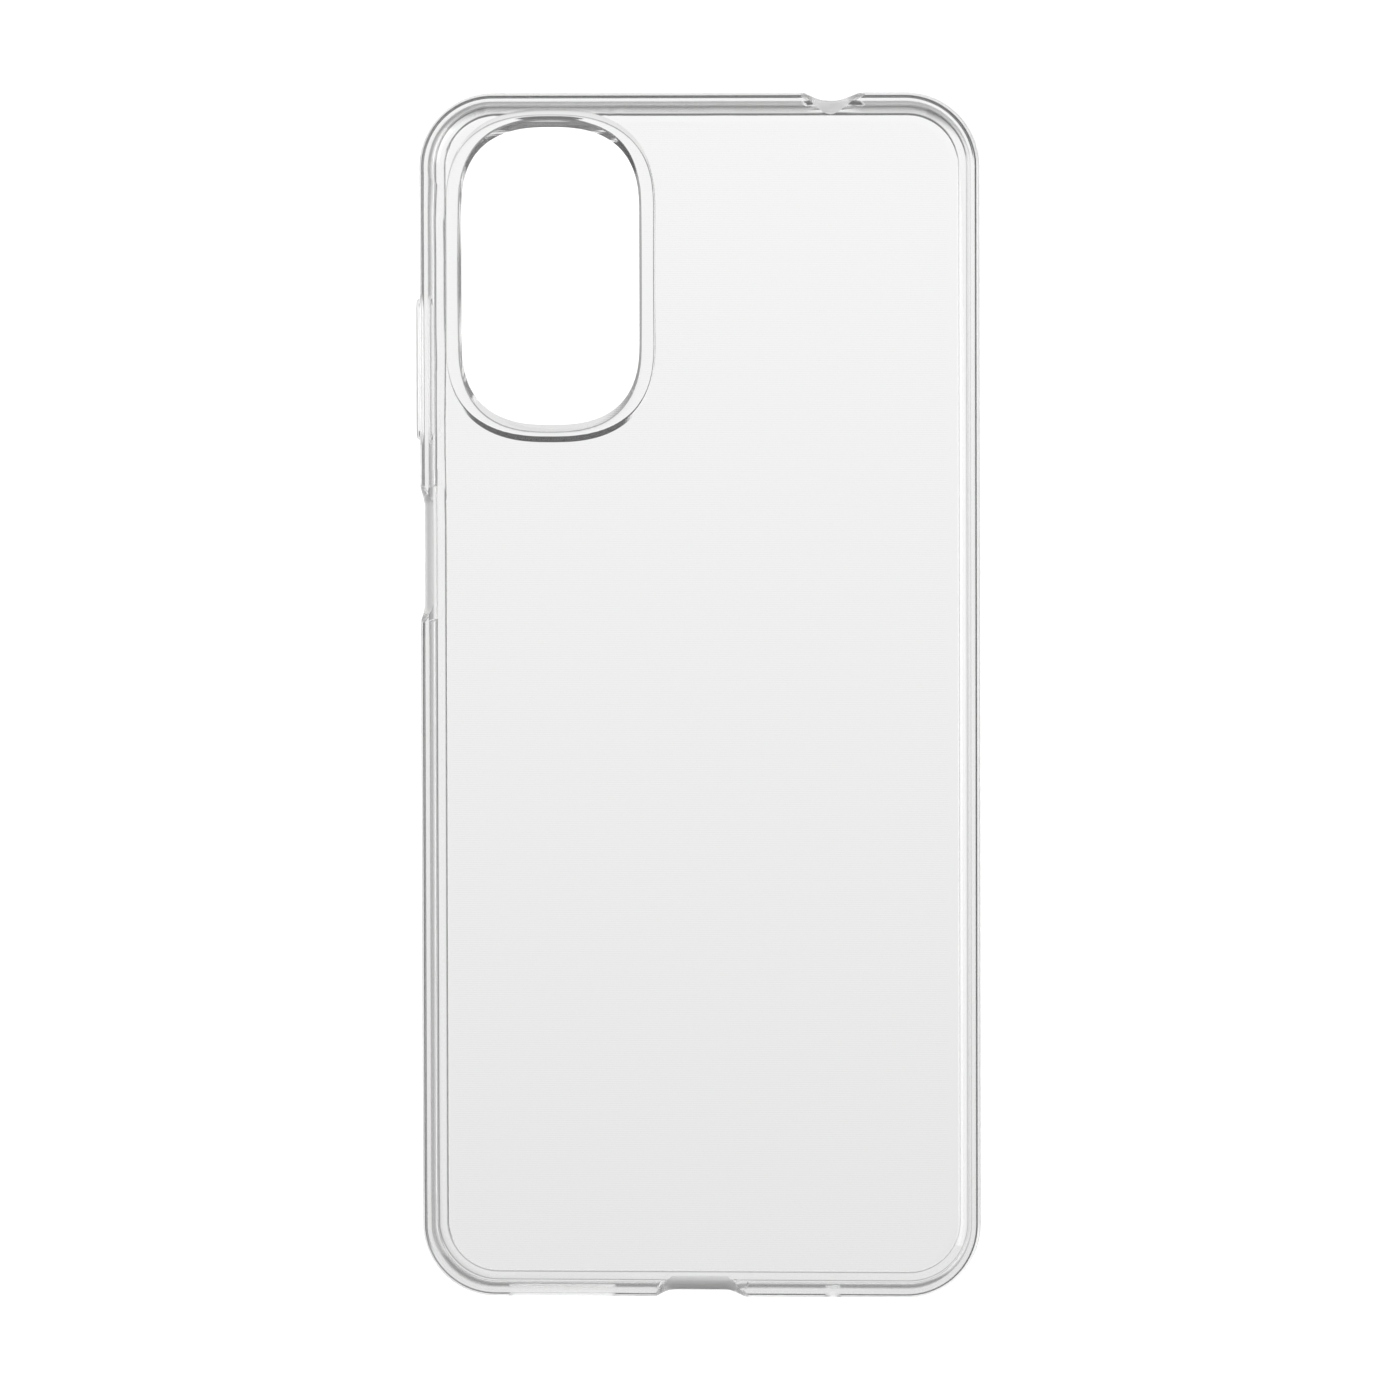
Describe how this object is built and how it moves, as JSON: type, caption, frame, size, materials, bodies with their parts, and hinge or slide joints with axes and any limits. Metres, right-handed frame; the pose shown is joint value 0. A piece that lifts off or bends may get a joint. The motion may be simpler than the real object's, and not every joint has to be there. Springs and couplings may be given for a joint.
{
  "type": "phone case",
  "caption": "Clear flexible one-piece phone case with a raised camera rim, a screen lip, port windows and a press-through volume pad.",
  "frame": {"origin": "middle of the case, in the plane of the screen lip that it rests on", "axes": "+X to the right as seen from the back, with the keys on the -X side; +Y towards the headphone-jack end; +Z out of the back"},
  "size_m": [0.078, 0.1666, 0.0113],
  "materials": {
    "clear_tpu": "transparent flexible TPU, glossy outside, fine moulded dots inside"
  },
  "bodies": {
    "case": {"back_panel": "clear_tpu", "camera_rim": "clear_tpu", "key_side_wall": "clear_tpu", "plain_side_wall": "clear_tpu", "jack_end_wall": "clear_tpu", "port_end_wall": "clear_tpu", "key_side_shoulder": "clear_tpu", "plain_side_shoulder": "clear_tpu", "jack_end_shoulder": "clear_tpu", "port_end_shoulder": "clear_tpu", "jack_key_corner": "clear_tpu", "jack_plain_corner": "clear_tpu", "port_key_corner": "clear_tpu", "port_plain_corner": "clear_tpu", "key_side_lip": "clear_tpu", "plain_side_lip": "clear_tpu", "jack_end_lip": "clear_tpu", "port_end_lip": "clear_tpu", "jack_key_lip_corner": "clear_tpu", "jack_plain_lip_corner": "clear_tpu", "port_key_lip_corner": "clear_tpu", "port_plain_lip_corner": "clear_tpu", "volume_web": "clear_tpu"},
    "volume_pad": {"volume_pad": "clear_tpu"}
  },
  "joints": [
    {"name": "volume_press", "type": "slide", "parent": "case", "child": "volume_pad", "axis": [1, 0, 0], "range_m": [0, 0.0005], "stiffness_N_per_m": 2000, "deforming": ["volume_web"]}
  ]
}
